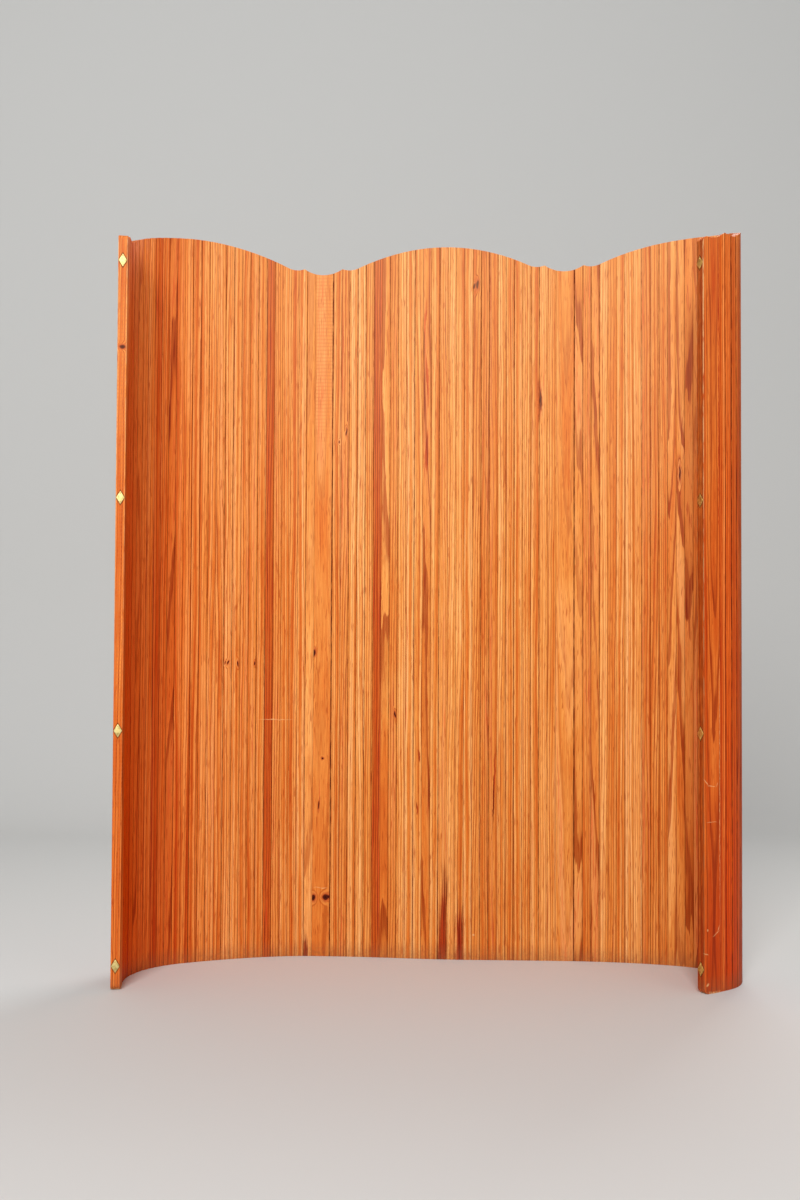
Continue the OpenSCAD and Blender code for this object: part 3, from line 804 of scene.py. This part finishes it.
right_edge = seat(LAST) @ Matrix.Translation((POST_W, 0, 0)) @ Matrix.Rotation(math.pi, 4, "Z")
for side, metal, seated in (("left", brass, seat(0)), ("right", browned, right_edge)):
    bm = bmesh.new()
    for level in WIRE_LEVELS:
        lozenge(bm, level)
    bmesh.ops.recalc_face_normals(bm, faces=bm.faces[:])
    bmesh.ops.transform(bm, verts=bm.verts[:], matrix=seated)
    mesh = bpy.data.meshes.new(f"brass_lozenges_{side}")
    bm.to_mesh(mesh)
    bm.free()
    mesh.shade_smooth()
    mesh.set_sharp_from_angle(angle=SHARP_ANGLE)
    mesh.materials.append(metal)
    piece = put(f"brass_lozenges_{side}", mesh)
    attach(piece, f"end_post_{side}")
    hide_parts(f"brass_plates_{side}")
    pins = frame["nodes"][f"plate_pins_{side}"]
    pins.data.materials.clear()
    pins.data.materials.append(metal)

# ---------------------------------------------------------------------------------------------
# The wires and their stops: drawn steel wire, 3 mm thick, threaded through every member at four
# levels and held at each end by a crimped steel sleeve in a pocket under its plate.
# ---------------------------------------------------------------------------------------------
DULL_W = 0.004


def drawn_steel(name):
    """Drawn steel: grey metal, dulled in patches by age."""
    material, tree = blank_material(name)
    spot = add(tree, "TexCoord").outputs["Object"]
    dull = add(tree, "TexNoise", {"Vector": spot, "Scale": 1 / DULL_W, "Detail": 4.0}).outputs[0]
    colour = add(tree, "ValToRGB", {0: dull}, stops=[(0.35, "#7C7A76"), (0.6, "#A9A9A8")]).outputs[0]
    rough = add(tree, "MapRange", {0: dull, 3: 0.3, 4: 0.55}).outputs[0]
    shader = add(tree, "BsdfPrincipled", {"Base Color": colour, "Metallic": 1.0, "Roughness": rough})
    add(tree, "OutputMaterial", {"Surface": shader.outputs[0]})
    return material


steel = drawn_steel("drawn_steel")
for name, node in frame["nodes"].items():
    if name.startswith(("wires_", "wire_stops_")):
        node.data.materials.clear()
        node.data.materials.append(steel)

# ---------------------------------------------------------------------------------------------
# The studio: a pale floor that runs up into a pale backdrop, one large soft lamp high in front and
# a little to the left, a weak one low on the right, a weak one behind, and an even sky.
# ---------------------------------------------------------------------------------------------
FLOOR_HALF, BACKDROP_Y, BACKDROP_H, SWEEP_R = 10.0, 3.2, 6.0, 1.2

bm = bmesh.new()
front = bm.verts.new((-FLOOR_HALF, -FLOOR_HALF, 0))
back = bm.verts.new((-FLOOR_HALF, BACKDROP_Y - SWEEP_R, 0))
bm.edges.new((front, back))
bend = bmesh.ops.spin(bm, geom=[back], cent=(-FLOOR_HALF, BACKDROP_Y - SWEEP_R, SWEEP_R),
                      axis=(1, 0, 0), angle=math.pi / 2, steps=16)["geom_last"]
swept = next(g for g in bend if isinstance(g, bmesh.types.BMVert))
bm.edges.new((swept, bm.verts.new((-FLOOR_HALF, BACKDROP_Y, BACKDROP_H))))
drawn = bmesh.ops.extrude_edge_only(bm, edges=bm.edges[:])["geom"]
drawn = [g for g in drawn if isinstance(g, bmesh.types.BMVert)]
bmesh.ops.translate(bm, verts=drawn, vec=(2 * FLOOR_HALF, 0, 0))
bmesh.ops.recalc_face_normals(bm, faces=bm.faces[:])
mesh = bpy.data.meshes.new("floor")
bm.to_mesh(mesh)
bm.free()
mesh.shade_smooth()
floor = put("floor", mesh)
# Matt paper: no gloss, so that the lamps leave no bright spot on it
paper = bpy.data.materials.new("matt_paper")
paper.use_nodes = True
matt = paper.node_tree.nodes["Principled BSDF"]
matt.inputs["Base Color"].default_value = linear("#D0D0CE")
matt.inputs["Roughness"].default_value = 0.9
mesh.materials.append(paper)


SKY_STRENGTH = 0.32


def lamp(name, place, target, size, power, spread=180):
    """A square soft lamp at that place, turned to its target."""
    light = bpy.data.lights.new(name, "AREA")
    light.shape, light.size, light.energy = "SQUARE", size, power
    light.spread = math.radians(spread)
    stand = put(name, light)
    stand.location = place
    stand.rotation_euler = (Vector(target) - Vector(place)).to_track_quat("-Z", "Y").to_euler()


lamp("key_lamp", (-1.6, -6.8, 4.2), (0.0, 0.0, 0.8), 3.2, 540)
lamp("fill_lamp", (2.6, -3.6, 1.8), (0.2, 0.0, 0.7), 2.2, 12)
lamp("back_lamp", (1.3, 2.0, 4.2), (0.0, 0.0, 0.9), 1.6, 20, spread=100)
world = bpy.data.worlds.new("sky")
bpy.context.scene.world = world
world.use_nodes = True
sky = world.node_tree.nodes["Background"]
sky.inputs["Color"].default_value = linear("#FFFFFF")
sky.inputs["Strength"].default_value = SKY_STRENGTH

# ---------------------------------------------------------------------------------------------
# The camera: low, nearly square to the screen and 2.6 m from its middle, tilted up a little, with
# a small shift that frames it. Angles are in degrees, lens and film in millimetres.
# ---------------------------------------------------------------------------------------------
FOCAL, LONG_SIDE = 32.91, 36.0
CAMERA_AT = (-0.228, -2.613, 0.665)
TURN, TILT, ROLL = -1.97, 1.34, 0.30
SHIFT_X, SHIFT_Y = 0.0136, 0.0436

camera = bpy.data.cameras.new("camera")
camera.lens, camera.sensor_width, camera.sensor_fit = FOCAL, LONG_SIDE, "AUTO"
camera.shift_x, camera.shift_y = SHIFT_X, SHIFT_Y
eye = put("camera", camera)
eye.matrix_world = (Matrix.Translation(CAMERA_AT) @ Matrix.Rotation(math.radians(TURN), 4, "Z")
                    @ Matrix.Rotation(math.radians(90 + TILT), 4, "X")
                    @ Matrix.Rotation(math.radians(ROLL), 4, "Z"))
bpy.context.scene.camera = eye
bpy.context.scene.view_settings.view_transform = "Standard"
